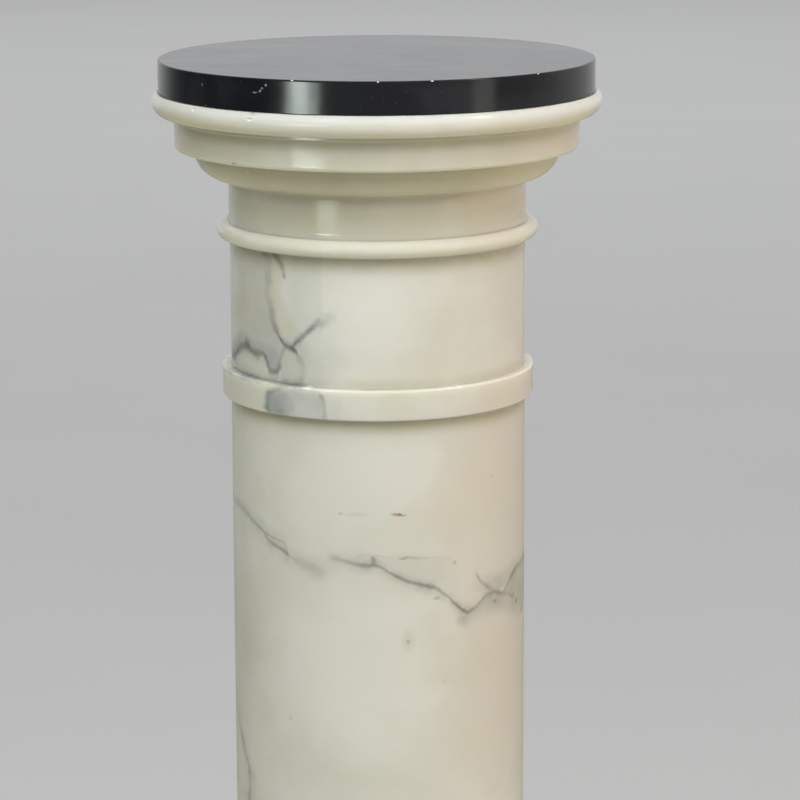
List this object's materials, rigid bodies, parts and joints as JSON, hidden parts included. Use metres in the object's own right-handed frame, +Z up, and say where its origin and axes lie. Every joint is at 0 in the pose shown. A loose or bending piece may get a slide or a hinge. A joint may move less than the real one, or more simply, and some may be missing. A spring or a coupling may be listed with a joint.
{
  "type": "doric pedestal column",
  "caption": "Smooth turned alabaster pedestal column with a moulded capital, banded necking, moulded base and square plinth, under a round black marble top that carries a bust or vase.",
  "frame": {"origin": "centre of the plinth's underside, on the floor", "axes": "+Z up along the column's axis, -Y towards the side that the picture shows, X and Y along the plinth's sides"},
  "size_m": [0.2784, 0.2784, 1.05],
  "materials": {
    "alabaster": "polished, slightly translucent, cream white with grey veins",
    "black_marble": "high polish, near black with faint grey clouding"
  },
  "bodies": {
    "root": {"top_slab": "black_marble", "capital": "alabaster", "necking_drum": "alabaster", "shaft": "alabaster", "base": "alabaster", "plinth": "alabaster"}
  },
  "joints": []
}
